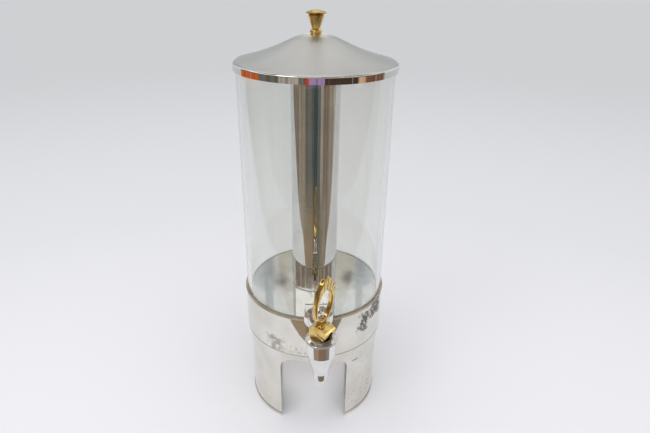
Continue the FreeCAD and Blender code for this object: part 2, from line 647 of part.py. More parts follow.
def cam_washer():
    inner = STEM_RADIUS + CAM_WASHER_CLEARANCE
    return on_tap(ring(CAM_WASHER_RADIUS, inner, CAM_SEAT, CAM_FACE))


def cam_block():
    """Block about the pin along X. Its underside is flat, then follows the cam curve up to the front."""
    curve = []
    for step in range(7):
        tilt = math.radians(15 * step)
        reach = CAM_REACH + CAM_RATE * tilt
        ahead = reach * math.sin(tilt) + CAM_RATE * math.cos(tilt)
        height = CAM_RATE * math.sin(tilt) - reach * math.cos(tilt)
        curve.append(Vector(-BLOCK_HALF_WIDTH, -ahead, height))
    cam = Part.BSplineCurve()
    cam.interpolate(curve)
    side = BLOCK_SIDE - PIN_RISE
    front = Vector(-BLOCK_HALF_WIDTH, -BLOCK_FRONT, side)
    crown = Vector(-BLOCK_HALF_WIDTH, 0, side + BLOCK_RISE)
    back = Vector(-BLOCK_HALF_WIDTH, BLOCK_BACK, side)
    heel = Vector(-BLOCK_HALF_WIDTH, BLOCK_BACK, -CAM_REACH)
    edges = [cam.toShape(), Part.LineSegment(curve[-1], front).toShape(),
             Part.Arc(front, crown, back).toShape(), Part.LineSegment(back, heel).toShape(),
             Part.LineSegment(heel, curve[0]).toShape()]
    return Part.Face(Part.Wire(edges)).extrude(X_AXIS * (2 * BLOCK_HALF_WIDTH))


def stem_slot():
    """Arched slot that lets the stem swing out through the front of the block."""
    face = outline((-SLOT_HALF, -2 * PIN_RISE), (-SLOT_HALF, 0), ((0, SLOT_HALF), (SLOT_HALF, 0)),
                   (SLOT_HALF, -2 * PIN_RISE))
    slot = face.extrude(Y_AXIS * (-2 * BLOCK_FRONT))
    slot.translate(Y_AXIS * SLOT_HALF)
    return slot


def oval(width, height, bottom, depth):
    """Upright oval slab centred on the XZ plane, standing on bottom."""
    long_axis = Part.Ellipse(Vector(0, 0, bottom + height), Vector(width / 2, 0, bottom + height / 2),
                             Vector(0, 0, bottom + height / 2))
    slab = Part.Face(Part.Wire(long_axis.toShape())).extrude(Y_AXIS * depth)
    slab.translate(Y_AXIS * (-depth / 2))
    return slab


def finger_ring():
    """Oval pull with a thick fluted top, standing on its tenon."""
    slab = oval(RING_WIDTH, RING_HEIGHT, 0, RING_THICKNESS)
    pull = slab.cut(oval(HOLE_WIDTH, HOLE_HEIGHT, HOLE_RISE, 2 * RING_THICKNESS))
    rims = [edge for edge in pull.Edges if edge.BoundBox.YLength < RING_EDGE]
    pull = pull.makeFillet(RING_EDGE, rims)
    root = Vector(0, 0, HOLE_RISE + HOLE_HEIGHT / 2)
    skew = RING_THICKNESS / 2 + FLUTE_RADIUS - FLUTE_DEPTH
    for face in (-1, 1):
        for index in range(FLUTE_COUNT):
            angle = math.radians(FLUTE_STEP * (index - (FLUTE_COUNT - 1) / 2))
            ray = Vector(math.sin(angle), 0, math.cos(angle))
            start = root + ray * (HOLE_HEIGHT / 2) + Y_AXIS * (face * skew)
            pull = pull.cut(Part.makeCylinder(FLUTE_RADIUS, RING_HEIGHT / 2, start, ray))
    return pull


def tap_handle():
    crown = BLOCK_SIDE - PIN_RISE + BLOCK_RISE
    pull = finger_ring()
    pull.rotate(ORIGIN, X_AXIS, RING_LEAN)
    pull.translate(Vector(0, 0, crown + TENON_HEIGHT / 2))
    tenon = Part.makeBox(TENON_LENGTH, TENON_WIDTH, 2 * TENON_HEIGHT,
                         Vector(-TENON_LENGTH / 2, -TENON_WIDTH / 2, crown - TENON_HEIGHT))
    hole = Part.makeCylinder(PIN_RADIUS, 4 * BLOCK_HALF_WIDTH, Vector(-2 * BLOCK_HALF_WIDTH, 0, 0), X_AXIS)
    block = cam_block().cut(stem_slot()).cut(hole)
    return on_handle(block.fuse([tenon, pull]).removeSplitter())


def pivot_pin():
    shaft = Part.makeCylinder(PIN_RADIUS, 2 * BLOCK_HALF_WIDTH, Vector(-BLOCK_HALF_WIDTH, 0, 0), X_AXIS)
    head = Part.makeCylinder(PIN_HEAD_RADIUS, PIN_HEAD, Vector(-BLOCK_HALF_WIDTH - PIN_HEAD, 0, 0), X_AXIS)
    return on_handle(shaft.fuse(head).removeSplitter())


PIECES = [pedestal_skirt, collar_band, tank_floor, tank_channel, cylinder_seal, clear_cylinder, ice_tube,
          tube_seat, tube_stud, stud_washer, wing_nut, lid_cover, lid_gasket, lid_knob, knob_washer,
          knob_screw, tap_body, tap_saddle, inner_gasket, nut_washer, lock_nut, bonnet_gasket, tap_bonnet,
          valve_stem, seat_cup, return_spring, cam_washer, tap_handle, pivot_pin]

os.makedirs("parts", exist_ok=True)
for piece in PIECES:
    shape = piece()
    shape.exportStep("parts/" + piece.__name__ + ".step")
    print(piece.__name__, "solids", len(shape.Solids), "valid", shape.isValid())
print("cam rate, mm per radian:", round(CAM_RATE, 4), " pin height:", round(PIN_Z, 3))
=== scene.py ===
import bpy
import json
import math
from mathutils import Matrix, Vector


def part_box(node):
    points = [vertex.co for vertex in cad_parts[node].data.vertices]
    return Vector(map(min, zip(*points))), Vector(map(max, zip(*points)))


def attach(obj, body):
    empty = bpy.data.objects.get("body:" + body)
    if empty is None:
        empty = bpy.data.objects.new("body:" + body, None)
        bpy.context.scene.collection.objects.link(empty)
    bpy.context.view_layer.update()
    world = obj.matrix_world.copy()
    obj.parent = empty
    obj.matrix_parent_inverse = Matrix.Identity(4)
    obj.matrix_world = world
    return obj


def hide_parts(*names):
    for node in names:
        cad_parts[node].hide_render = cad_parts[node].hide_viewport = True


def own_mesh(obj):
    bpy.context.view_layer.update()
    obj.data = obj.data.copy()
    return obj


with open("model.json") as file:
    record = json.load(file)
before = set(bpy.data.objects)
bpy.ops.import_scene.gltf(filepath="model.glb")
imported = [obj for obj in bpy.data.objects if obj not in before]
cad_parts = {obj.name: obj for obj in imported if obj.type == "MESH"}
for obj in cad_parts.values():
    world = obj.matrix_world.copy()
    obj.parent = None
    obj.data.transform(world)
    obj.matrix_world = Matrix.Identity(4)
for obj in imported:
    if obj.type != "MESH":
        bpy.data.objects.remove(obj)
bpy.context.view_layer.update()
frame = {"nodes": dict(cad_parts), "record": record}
NODES = frame["nodes"]


def tone(red, green, blue):
    """Colour from linear red, green and blue."""
    return (red, green, blue, 1.0)


def shade(red, green, blue):
    """Linear colour of a screen colour in 0 to 255."""
    levels = []
    for level in (red, green, blue):
        part = level / 255
        levels.append(part / 12.92 if part <= 0.04045 else ((part + 0.055) / 1.055) ** 2.4)
    return tone(*levels)


# Camera, fitted to the ellipses of the lid, collar and foot in the photograph
IMAGE_WIDTH = 650
FOCAL_PIXELS = 515.43
SENSOR_WIDTH = 36.0
CAMERA_PLACE = Vector((-0.0359, -0.6466, 0.60895))
CAMERA_PITCH = math.radians(26.056)
CAMERA_HEADING = math.radians(-4.45)
CAMERA_ROLL = math.radians(0.974)
CAMERA_REACH = 120.0

# Finishes: the darker and the lighter tone of each, or its one tone
BASE_STEEL = (tone(0.675, 0.658, 0.60), tone(0.78, 0.764, 0.705))
TANK_STEEL = (tone(0.68, 0.675, 0.66), tone(0.76, 0.755, 0.745))
SATIN_STEEL = (tone(0.635, 0.623, 0.592), tone(0.705, 0.692, 0.667))
PLAIN_STEEL = (tone(0.50, 0.50, 0.51), tone(0.64, 0.64, 0.65))
WASHER_STEEL = (tone(0.20, 0.18, 0.15), tone(0.30, 0.27, 0.23))
CHROME = (tone(0.74, 0.74, 0.735), tone(0.81, 0.81, 0.805))
WORN_CHROME = (tone(0.58, 0.57, 0.55), tone(0.68, 0.67, 0.65))
GILT = (tone(0.54, 0.36, 0.115), tone(0.80, 0.60, 0.24))
CLEAR = (tone(0.905, 0.918, 0.90), tone(0.93, 0.938, 0.92))
WHITE_NYLON = (tone(0.80, 0.79, 0.76), tone(0.87, 0.86, 0.84))
BROWN_SILICONE = (tone(0.30, 0.245, 0.18), tone(0.45, 0.385, 0.30))
# Pale tone painted on the seal as painted light, where it lies in shade in the channel
SILICONE_PAINTED_LIGHT = (tone(0.82, 0.82, 0.79), tone(0.90, 0.90, 0.87))
# Light tone painted round the knob on the lid: painted light that lifts the knob's dark reflection
CROWN_PAINTED_LIGHT = tone(0.90, 0.895, 0.88)
MILL_FINISH = tone(0.70, 0.695, 0.68)
STAIN = tone(0.62, 0.565, 0.495)
# Dark tone for the dirt marks on the steel and for the painted shadow line on the saddle
GRIME_AND_SHADOW = tone(0.055, 0.045, 0.038)
SEALANT = tone(0.60, 0.53, 0.44)
CLEAR_IOR = 1.49
DULL_ROUGHNESS = 0.6
SOFT_ROUGHNESS = 0.4
BASE_DENTS = 0.25
TANK_DENTS = 0.05

# Lid: height of its polished rim, and distances from its axis, in metres
LID_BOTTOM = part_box("lid_cover")[0].z
LID_POLISH = 0.0086
LID_POLISH_EDGE = 0.0012
CROWN_START = 0.010
CROWN_GLOSS_END = 0.020
# Painted light round the knob fades out at this distance from the axis
CROWN_LIGHT_END = 0.026
CROWN_ROUGHNESS = 0.14
SATIN_ROUGHNESS = 0.40
POLISHED_SHARE = 0.10
SPUN_RINGS = 1400.0

# Marks on the base: bearings in degrees from the tap side, and heights in metres
SEAM_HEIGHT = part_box("collar_band")[0].z
SEAM_LINE = (SEAM_HEIGHT + 0.0004, SEAM_HEIGHT + 0.0018)
SMEAR_BEARINGS = (-42, -27)
SMEAR_HEIGHTS = (0.131, 0.150)
MOTTLE_BEARINGS = (-30, -7)
MOTTLE_HEIGHTS = (0.129, 0.141)
LOW_SCRAPE_BEARINGS = (35, 47)
LOW_SCRAPE_HEIGHTS = (0.150, 0.182)
HIGH_SCRAPE_BEARINGS = (48.5, 67)
HIGH_SCRAPE_HEIGHTS = (0.163, 0.190)
SPECK_BEARINGS = (27, 75)
SPECK_HEIGHTS = (0.015, 0.11)
SCRATCH_BEARINGS = (31.5, 37.2)
SCRATCH_HEIGHTS = (0.1020, 0.1042)
HEM_LINE_HEIGHTS = (0.0044, 0.0060)
SMEAR_STRENGTH = 0.58
MOTTLE_STRENGTH = 0.55
SCRAPE_STRENGTH = 0.92
SEAM_STRENGTH = 0.9
SPECK_STRENGTH = 0.4
SCRATCH_STRENGTH = 0.85
HEM_LINE_STRENGTH = 0.7
DROP_STRENGTH = 0.25
COLLAR_STAINS = 0.55
SKIRT_STAINS = 0.35
TANK_STAINS = 0.15
PATCH_WANDER = 0.35
PATCH_DRIFT = 0.03
PATCH_SOFT_HEIGHT = 0.003

# Painted shadow line on the saddle where it meets the clear wall, from its top and from its front, and
# painted light on the back and inner faces of the seal, in metres
SADDLE_SHADOW_BELOW_TOP = (0.0009, 0.0005)
SADDLE_SHADOW_FROM_FRONT = (0.0040, 0.0046)
SADDLE_SHADOW_STRENGTH = 0.85
SEAL_LIGHT_FROM = (0.01, 0.05)
SEAL_LIGHT_STRENGTH = 0.55

# Pale floor, painted lighter near the part and greyer with distance as painted light falloff, in a pale
# surround
FLOOR_SIZE = 90.0
FLOOR_NEAR = shade(239, 238, 242)
FLOOR_MIDDLE = shade(226, 226, 229)
FLOOR_FAR = shade(208, 209, 211)
FLOOR_CENTRE = 0.5
FLOOR_FADE = (0.3, 3.5)
FLOOR_MIDDLE_SHARE = 0.18
HORIZON_FADE = (10.0, 30.0)
FLOOR_ROUGHNESS = 0.9
FLOOR_SHEEN = 0.05
SURROUND = shade(236, 237, 238)
SURROUND_AS_LAMP = 0.78

# Room round the table, in metres, and in degrees from the tap side: it shows only in reflections
TABLE_FRONT = 0.27
TABLE_CORNER = 62
TABLE_FLARE_LEFT = 51
TABLE_FLARE_RIGHT = 34
ROOM_RADIUS = 2.4
ROOM_HEIGHT = 1.79
ROOM_LIFT = 0.002
ROOM_BEARINGS = (-120, 100)
ROOM_STEP = 4
FAR_FROM = (0.5, 1.0)
WALL_FOOT = (2.33, 2.42)
DADO_EDGE = (0.3, 0.5)
UPPER_EDGE = (0.8, 1.1)
PALE = shade(190, 180, 170)
TAUPE = shade(170, 156, 138)
SAND = shade(164, 146, 122)
UMBER = shade(146, 126, 112)
MOSS = shade(114, 116, 108)
SLATE = shade(65, 79, 87)
SOOT = shade(78, 62, 52)
BROWN = shade(140, 115, 93)
ORANGE = shade(215, 105, 45)
RED = shade(235, 90, 70)
LILAC = shade(178, 148, 198)
PEACH = shade(230, 190, 156)
RUST = shade(132, 95, 73)
NEAR_STRIPES = [(-90, PALE), (-50, SAND), (-16, SAND), (-11, BROWN), (8, BROWN), (15, MOSS), (43, TAUPE),
                (54, UMBER), (80, PALE)]
FAR_STRIPES = [(-180, UMBER), (-84, TAUPE), (-50, MOSS), (-10, SLATE), (6, MOSS), (21, PALE), (32, UMBER),
               (62, TAUPE), (86, PALE)]
WALL_BANDS = [(-180, ORANGE), (-84, MOSS), (-53, PALE), (-26, MOSS), (-18, RED), (-12, LILAC), (8, SOOT),
              (53, PEACH), (64, RUST)]

# Backdrop behind the table and bright ceiling over the room, as the tank floor and the rims mirror them
BACKDROP_PLACE = 2.5
BACKDROP_HALF = 1.6
BACKDROP_LOW = 0.8
BACKDROP_EDGE = 1.915
BACKDROP_EDGE_SOFT = 0.015
BACKDROP_HIGH = 3.2
BACKDROP_CENTRE = 0.146
BACKDROP_WARM_EDGE = (0.36, 0.42)
BACKDROP_MIDDLE = shade(217, 213, 205)
BACKDROP_SIDE = shade(177, 185, 188)
POST_SIDES = (0.424, 0.55)
POST_SOFT = 0.015
POST_LOW_STRENGTH = 0.25
POST_HIGH_STRENGTH = 0.55
POST_COLOUR = shade(104, 114, 122)
SPOT_SIDE = 0.32
SPOT_DROP = 0.10
SPOT_HALF_WIDTH = 0.10
SPOT_HALF_HEIGHT = 0.07
SPOT_FADE = (0.2, 1.2)
SPOT_STRENGTH = 0.8
SPOT_COLOUR = shade(52, 50, 46)
CEILING_RADIUS = 0.8
CEILING_HEIGHT = 2.6
CEILING_EDGE = (1.95, 2.15)
CEILING_LIGHT = tone(1.8, 1.8, 1.78)
CEILING_MIDDLE = tone(0.22, 0.19, 0.16)

# Lamps: a wide soft one, a small one for highlights, and a beam into the bay under the tap
LAMP_TARGET = (0.0, 0.0, 0.25)
WIDE_POWER = 1.15
WIDE_ANGLE = math.radians(80)
WIDE_PLACE = (-0.05, -0.65, 1.45)
KEY_POWER = 4.0
KEY_SIZE = 0.7
KEY_PLACE = (-1.0, -0.8, 1.8)
BAY_POWER = 41.0
BAY_COLOUR = (1.0, 0.985, 0.95)
BAY_ANGLE = math.radians(7.2)
BAY_BLEND = 0.35
BAY_SOFTNESS = 0.02
BAY_STRETCH = 1.3
BAY_PLACE = (-0.053, -0.95, 0.5)
BAY_TARGET = (0.0, 0.078, 0.0)


def add(tree, kind, **settings):
    """New shader node with its settings."""
    node = tree.nodes.new(kind)
    for name, value in settings.items():
        setattr(node, name, value)
    return node


def feed(tree, value, socket):
    """Links a socket, or sets a number or colour."""
    if isinstance(value, bpy.types.NodeSocket):
        tree.links.new(value, socket)
    else:
        socket.default_value = value


def calc(tree, operation, first, second=0.0):
    """Result of a sum on one or two values."""
    node = add(tree, "ShaderNodeMath", operation=operation)
    feed(tree, first, node.inputs[0])
    feed(tree, second, node.inputs[1])
    return node.outputs["Value"]


def times(tree, first, second):
    """Product of two values."""
    return calc(tree, "MULTIPLY", first, second)


def strongest(tree, first, *others):
    """Largest of several values."""
    for other in others:
        first = calc(tree, "MAXIMUM", first, other)
    return first


def spread(tree, socket, start, end, low=0.0, high=1.0, shape="SMOOTHSTEP"):
    """Goes from low to high as a value goes from start to end, and holds there."""
    node = add(tree, "ShaderNodeMapRange", interpolation_type=shape)
    node.inputs["From Min"].default_value = start
    node.inputs["From Max"].default_value = end
    node.inputs["To Min"].default_value = low
    node.inputs["To Max"].default_value = high
    tree.links.new(socket, node.inputs["Value"])
    return node.outputs["Result"]


def blend(tree, factor, first, second):
    """Colour between two, by a factor."""
    node = add(tree, "ShaderNodeMix", data_type="RGBA")
    feed(tree, factor, node.inputs[0])
    feed(tree, first, node.inputs[6])
    feed(tree, second, node.inputs[7])
    return node.outputs[2]


def place(tree):
    """X, Y and Z of the part's frame."""
    coordinates = add(tree, "ShaderNodeTexCoord")
    split = add(tree, "ShaderNodeSeparateXYZ")
    tree.links.new(coordinates.outputs["Object"], split.inputs["Vector"])
    return split.outputs["X"], split.outputs["Y"], split.outputs["Z"]


def bearing(tree, x, y):
    """Angle in radians from the tap side, positive to the right of it."""
    return calc(tree, "ARCTAN2", x, times(tree, y, -1.0))


def distance(tree, x, y):
    """Length of the way along x and y."""
    return calc(tree, "SQRT", calc(tree, "ADD", calc(tree, "POWER", x, 2.0), calc(tree, "POWER", y, 2.0)))


def noise(tree, scale, detail, stretch=(1.0, 1.0, 1.0)):
    """Noise in the part's frame, in features per metre, stretched along the axes."""
    coordinates = add(tree, "ShaderNodeTexCoord")
    mapping = add(tree, "ShaderNodeMapping")
    mapping.inputs["Scale"].default_value = stretch
    texture = add(tree, "ShaderNodeTexNoise")
    texture.inputs["Scale"].default_value = scale
    texture.inputs["Detail"].default_value = detail
    tree.links.new(coordinates.outputs["Object"], mapping.inputs["Vector"])
    tree.links.new(mapping.outputs["Vector"], texture.inputs["Vector"])
    return texture.outputs["Fac"]


def line_noise(tree, value, scale, detail):
    """Noise along one value."""
    texture = add(tree, "ShaderNodeTexNoise", noise_dimensions="1D")
    texture.inputs["Scale"].default_value = scale
    texture.inputs["Detail"].default_value = detail
    tree.links.new(value, texture.inputs["W"])
    return texture.outputs["Fac"]


def blotches(tree, scale):
    """Soft patches over about half of a surface."""
    return spread(tree, noise(tree, scale, detail=5.0), 0.3, 0.7)


def window(tree, socket, low, high, soft):
    """One between low and high, fading to nothing over a soft edge on each side."""
    rising = spread(tree, socket, low - soft, low + soft)
    falling = spread(tree, socket, high - soft, high + soft, 1.0, 0.0)
    return times(tree, rising, falling)


def degrees_window(tree, angle, low, high, soft):
    """The same for an angle in radians between two in degrees."""
    return window(tree, angle, math.radians(low), math.radians(high), math.radians(soft))


def bump(tree, height, shader, strength, depth):
    """Fine relief on a shader."""
    node = add(tree, "ShaderNodeBump")
    node.inputs["Strength"].default_value = strength
    node.inputs["Distance"].default_value = depth
    tree.links.new(height, node.inputs["Height"])
    tree.links.new(node.outputs["Normal"], shader.inputs["Normal"])


def grain(tree, shader):
    """Fine grain of a moulded surface."""
    bump(tree, noise(tree, 900.0, detail=4.0), shader, strength=0.08, depth=0.0005)


def new_material(name):
    """Material with its node tree and its main shader."""
    material = bpy.data.materials.new(name)
    material.use_nodes = True
    tree = material.node_tree
    return material, tree, tree.nodes["Principled BSDF"]


def handled(tree, shader, tones, smooth, rough, blotch):
    """Lets colour and gloss drift a little in patches, from handling."""
    patches = blotches(tree, blotch)
    tree.links.new(blend(tree, patches, *tones), shader.inputs["Base Color"])
    tree.links.new(spread(tree, patches, 0.0, 1.0, smooth, rough), shader.inputs["Roughness"])


def metal(name, tones, smooth, rough, blotch):
    """Handled metal with its tree and shader, for further work."""
    material, tree, shader = new_material(name)
    shader.inputs["Metallic"].default_value = 1.0
    handled(tree, shader, tones, smooth, rough, blotch)
    return material, tree, shader


def plain_metal(name, tones, smooth, rough, blotch):
    """Handled metal as it is."""
    return metal(name, tones, smooth, rough, blotch)[0]


def gilt_metal():
    """Gold-coloured plating with fine polishing lines."""
    material, tree, shader = metal("gilt_metal", GILT, smooth=0.03, rough=0.11, blotch=110.0)
    lines = noise(tree, 700.0, detail=3.0, stretch=(1.0, 1.0, 0.2))
    bump(tree, lines, shader, strength=0.06, depth=0.0004)
    return material


def plastic(name, tones, smooth, rough, blotch):
    """Handled plastic with a fine grain."""
    material, tree, shader = new_material(name)
    handled(tree, shader, tones, smooth, rough, blotch)
    grain(tree, shader)
    return material


def facing(tree):
    """How far a face looks out from the axis of the part, and how far up."""
    geometry = add(tree, "ShaderNodeNewGeometry")
    split = add(tree, "ShaderNodeSeparateXYZ")
    tree.links.new(geometry.outputs["Normal"], split.inputs["Vector"])
    x, y, z = place(tree)
    across = times(tree, split.outputs["X"], x)
    along = times(tree, split.outputs["Y"], y)
    outward = calc(tree, "DIVIDE", calc(tree, "ADD", across, along), distance(tree, x, y))
    return outward, split.outputs["Z"]


def mill_side(tree):
    """Unpolished faces: those that look in towards the axis, or down."""
    outward, upward = facing(tree)
    inner = spread(tree, outward, -0.6, -0.4, 1.0, 0.0)
    under = spread(tree, upward, -0.6, -0.4, 1.0, 0.0)
    return strongest(tree, inner, under)


def sealed_side(tree):
    """Outward faces of the channel, smeared with sealant."""
    outward = facing(tree)[0]
    return spread(tree, outward, 0.3, 0.6)


def used_steel(name, tones, marks, dull_faces, dull_colour, dents):
    """Polished sheet steel with warm stains and hairline scuffs, its dark marks, and its dull faces."""
    material, tree, shader = new_material(name)
    steel = blend(tree, blotches(tree, 26.0), *tones)
    stains, dirt = marks(tree)
    steel = blend(tree, stains, steel, STAIN)
    dull = dull_faces(tree)
    colour = blend(tree, dull, blend(tree, dirt, steel, GRIME_AND_SHADOW), dull_colour)
    tree.links.new(colour, shader.inputs["Base Color"])
    cover = strongest(tree, dirt, dull)
    tree.links.new(calc(tree, "SUBTRACT", 1.0, cover), shader.inputs["Metallic"])
    hairlines = noise(tree, 60.0, detail=6.0, stretch=(1.0, 1.0, 8.0))
    scuffs = spread(tree, hairlines, 0.45, 0.75, low=0.02, high=0.11)
    gloss = strongest(tree, scuffs, times(tree, cover, DULL_ROUGHNESS))
    tree.links.new(gloss, shader.inputs["Roughness"])
    bump(tree, noise(tree, 9.0, detail=2.0), shader, strength=dents, depth=0.004)
    return material


def flecked(tree, scale, start, end):
    """Ragged flecks: the share of a fine noise that is above a level."""
    return spread(tree, noise(tree, scale, detail=8.0), start, end)


def stained(tree, strength):
    """Warm stains in broad patches."""
    return spread(tree, noise(tree, 17.0, detail=6.0, stretch=(1.0, 1.0, 0.6)), 0.52, 0.68, high=strength)


def patch(tree, angle, z, bearings, heights, soft):
    """Ragged, soft-edged patch between two bearings in degrees and two heights."""
    wander = calc(tree, "SUBTRACT", noise(tree, 60.0, detail=6.0), 0.5)
    drift = calc(tree, "SUBTRACT", noise(tree, 75.0, detail=6.0, stretch=(1.2, 0.8, 1.0)), 0.5)
    angle = calc(tree, "ADD", angle, times(tree, wander, PATCH_WANDER))
    z = calc(tree, "ADD", z, times(tree, drift, PATCH_DRIFT))
    across = degrees_window(tree, angle, *bearings, soft)
    return times(tree, across, window(tree, z, *heights, PATCH_SOFT_HEIGHT))


def collar_marks(tree):
    """Rubbed-off residue left of the tap, scraped adhesive on the right, and the dark line of the seam."""
    x, y, z = place(tree)
    angle = bearing(tree, x, y)
    smear = patch(tree, angle, z, SMEAR_BEARINGS, SMEAR_HEIGHTS, soft=4)
    smear = times(tree, smear, flecked(tree, 130.0, 0.32, 0.56))
    smear = times(tree, smear, SMEAR_STRENGTH)
    mottle = patch(tree, angle, z, MOTTLE_BEARINGS, MOTTLE_HEIGHTS, soft=3)
    mottle = times(tree, mottle, flecked(tree, 260.0, 0.50, 0.62))
    mottle = times(tree, mottle, MOTTLE_STRENGTH)
    low_scrape = patch(tree, angle, z, LOW_SCRAPE_BEARINGS, LOW_SCRAPE_HEIGHTS, soft=1.5)
    high_scrape = patch(tree, angle, z, HIGH_SCRAPE_BEARINGS, HIGH_SCRAPE_HEIGHTS, soft=1.5)
    scrape = times(tree, strongest(tree, low_scrape, high_scrape), flecked(tree, 330.0, 0.32, 0.50))
    scrape = times(tree, scrape, SCRAPE_STRENGTH)
    seam = spread(tree, z, *SEAM_LINE, low=SEAM_STRENGTH, high=0.0)
    return stained(tree, COLLAR_STAINS), strongest(tree, smear, mottle, scrape, seam)


def skirt_marks(tree):
    """Specks on the right flank, a short scratch, and a dark ragged line just above the hem."""
    x, y, z = place(tree)
    angle = bearing(tree, x, y)
    flank = degrees_window(tree, angle, *SPECK_BEARINGS, soft=5)
    flank = times(tree, flank, window(tree, z, *SPECK_HEIGHTS, soft=0.01))
    specks = times(tree, flank, flecked(tree, 210.0, 0.62, 0.68))
    specks = times(tree, specks, SPECK_STRENGTH)
    scratch = degrees_window(tree, angle, *SCRATCH_BEARINGS, soft=0.8)
    scratch = times(tree, scratch, window(tree, z, *SCRATCH_HEIGHTS, soft=0.0006))
    scratch = times(tree, scratch, SCRATCH_STRENGTH)
    hem = times(tree, window(tree, z, *HEM_LINE_HEIGHTS, soft=0.0008), flecked(tree, 40.0, 0.25, 0.55))
    hem = times(tree, hem, HEM_LINE_STRENGTH)
    return stained(tree, SKIRT_STAINS), strongest(tree, specks, scratch, hem)


def tank_marks(tree):
    """Dried drops on the inside steel."""
    return stained(tree, TANK_STAINS), times(tree, flecked(tree, 320.0, 0.70, 0.76), DROP_STRENGTH)


def base_steel(name, marks):
    """Steel of the base, with marks of its own and shallow dents."""
    return used_steel(name, BASE_STEEL, marks, mill_side, MILL_FINISH, BASE_DENTS)


def tank_steel(name, dull_faces, dull_colour):
    """Steel of the tank, cleaner and flatter."""
    return used_steel(name, TANK_STEEL, tank_marks, dull_faces, dull_colour, TANK_DENTS)


def satin_steel():
    """Spun satin steel, polished at the rim and shoulder, glossier round the knob, and painted lighter round
    the knob as painted light that lifts the knob's dark reflection.
    """
    material, tree, shader = new_material("satin_steel")
    shader.inputs["Metallic"].default_value = 1.0
    x, y, z = place(tree)
    radius = distance(tree, x, y)
    top = LID_BOTTOM + LID_POLISH
    satin = spread(tree, z, top, top + LID_POLISH_EDGE)
    steel = blend(tree, blotches(tree, 12.0), *SATIN_STEEL)
    # Painted light: the base colour turns lighter towards the knob, to lift the dark reflection of the knob
    # in the satin
    crown_light = spread(tree, radius, CROWN_START, CROWN_LIGHT_END, 1.0, 0.0)
    tree.links.new(blend(tree, crown_light, steel, CROWN_PAINTED_LIGHT), shader.inputs["Base Color"])
    worn = spread(tree, radius, CROWN_START, CROWN_GLOSS_END, CROWN_ROUGHNESS, SATIN_ROUGHNESS)
    tree.links.new(times(tree, strongest(tree, satin, POLISHED_SHARE), worn), shader.inputs["Roughness"])
    rings = line_noise(tree, radius, SPUN_RINGS, detail=2.0)
    bump(tree, times(tree, rings, satin), shader, strength=0.12, depth=0.0004)
    return material


def clear_plastic():
    """Clear plastic with faint scuffs, which lets shadow rays through."""
    material, tree, shader = new_material("clear_plastic")
    shader.inputs["Transmission Weight"].default_value = 1.0
    shader.inputs["IOR"].default_value = CLEAR_IOR
    tree.links.new(blend(tree, blotches(tree, 18.0), *CLEAR), shader.inputs["Base Color"])
    wiped = noise(tree, 45.0, detail=6.0, stretch=(1.0, 1.0, 0.15))
    tree.links.new(spread(tree, wiped, 0.5, 0.8, high=0.045), shader.inputs["Roughness"])
    path = add(tree, "ShaderNodeLightPath")
    through = add(tree, "ShaderNodeBsdfTransparent")
    mix = add(tree, "ShaderNodeMixShader")
    tree.links.new(path.outputs["Is Shadow Ray"], mix.inputs["Fac"])
    tree.links.new(shader.outputs["BSDF"], mix.inputs[1])
    tree.links.new(through.outputs["BSDF"], mix.inputs[2])
    tree.links.new(mix.outputs["Shader"], tree.nodes["Material Output"].inputs["Surface"])
    return material


def shadowed_nylon():
    """White nylon with a painted shadow line along the back of its top edge, where it meets the clear wall.
    """
    material, tree, shader = new_material("shadowed_nylon")
    shader.inputs["Roughness"].default_value = SOFT_ROUGHNESS
    y, z = place(tree)[1:]
    low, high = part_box("tap_saddle")
    white = blend(tree, blotches(tree, 60.0), *WHITE_NYLON)
    upper = spread(tree, z, *[high[2] - depth for depth in SADDLE_SHADOW_BELOW_TOP])
    rear = spread(tree, y, *[low[1] + depth for depth in SADDLE_SHADOW_FROM_FRONT], high=SADDLE_SHADOW_STRENGTH)
    # Painted shadow: a dark line along the back of the top edge, where the saddle meets the clear wall
    tree.links.new(blend(tree, times(tree, upper, rear), white, GRIME_AND_SHADOW), shader.inputs["Base Color"])
    grain(tree, shader)
    return material


def silicone():
    """Brown silicone, painted pale as painted light on the faces that look in, and along the top at the back,
    where the channel keeps it in shade.
    """
    material, tree, shader = new_material("silicone")
    shader.inputs["Roughness"].default_value = SOFT_ROUGHNESS
    outward, upward = facing(tree)
    y = place(tree)[1]
    patches = blotches(tree, 45.0)
    brown = blend(tree, patches, *BROWN_SILICONE)
    pale = blend(tree, patches, *SILICONE_PAINTED_LIGHT)
    # Painted light: the seal's inner faces and the top of its back are painted pale
    inner = spread(tree, outward, -0.6, -0.3, 1.0, 0.0)
    upper = spread(tree, upward, 0.4, 0.8, high=SEAL_LIGHT_STRENGTH)
    upper = times(tree, upper, spread(tree, y, *SEAL_LIGHT_FROM))
    tree.links.new(blend(tree, strongest(tree, inner, upper), brown, pale), shader.inputs["Base Color"])
    grain(tree, shader)
    return material


